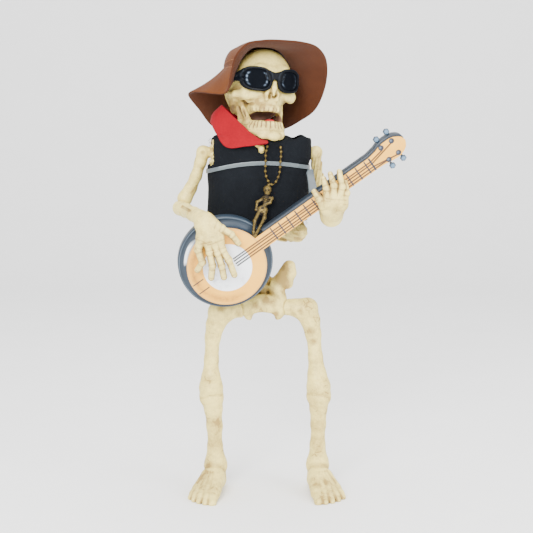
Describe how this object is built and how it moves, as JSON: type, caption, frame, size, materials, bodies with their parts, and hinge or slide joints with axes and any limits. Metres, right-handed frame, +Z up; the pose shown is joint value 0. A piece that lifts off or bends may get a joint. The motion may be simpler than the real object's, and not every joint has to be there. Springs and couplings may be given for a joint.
{
  "type": "skeleton musician figure",
  "caption": "Standing moulded skeleton figure in a felt hat, dark glasses, neckerchief and vest, playing a small banjo.",
  "frame": {"origin": "on the floor, under the middle of the model's box", "axes": "+Z up, the figure faces -Y, and its left hand is towards +X"},
  "size_m": [0.2007, 0.1292, 0.4019],
  "materials": {
    "bone": "cast plastic in cream, with a brown wash in the hollows",
    "red_plastic": "small red insert behind the teeth",
    "felt": "brushed brown felt",
    "gloss_black": "polished black",
    "dark_lens": "polished black, slightly blue",
    "red_cloth": "thin cotton",
    "black_cloth": "coarse black weave with frayed edges",
    "clear_strap": "grey see-through strap",
    "old_brass": "antique brass",
    "blue_plastic": "satin blue-grey with a light brushed wash",
    "printed_face": "printed tan and white face",
    "knob_blue": "light blue with dark edges"
  },
  "bodies": {
    "root": {"skull": "bone", "jaw": "bone", "tongue": "red_plastic", "neck": "bone", "ribcage": "bone", "lumbar_spine": "bone", "pelvis": "bone", "leg_left": "bone", "leg_right": "bone", "upper_arm_right": "bone", "upper_arm_left": "bone", "forearm_right": "bone", "forearm_left": "bone", "hand_right": "bone", "hand_left": "bone", "hat": "felt", "sunglasses_frame": "gloss_black", "lens_right": "dark_lens", "lens_left": "dark_lens", "neckerchief": "red_cloth", "vest": "black_cloth", "chest_band": "clear_strap", "ball_chain": "old_brass", "pendant": "old_brass", "banjo_pot": "blue_plastic", "banjo_face": "printed_face", "banjo_neck": "blue_plastic", "tuning_peg_1": "knob_blue", "tuning_peg_2": "knob_blue", "tuning_peg_3": "knob_blue", "tuning_peg_4": "knob_blue"}
  },
  "joints": []
}
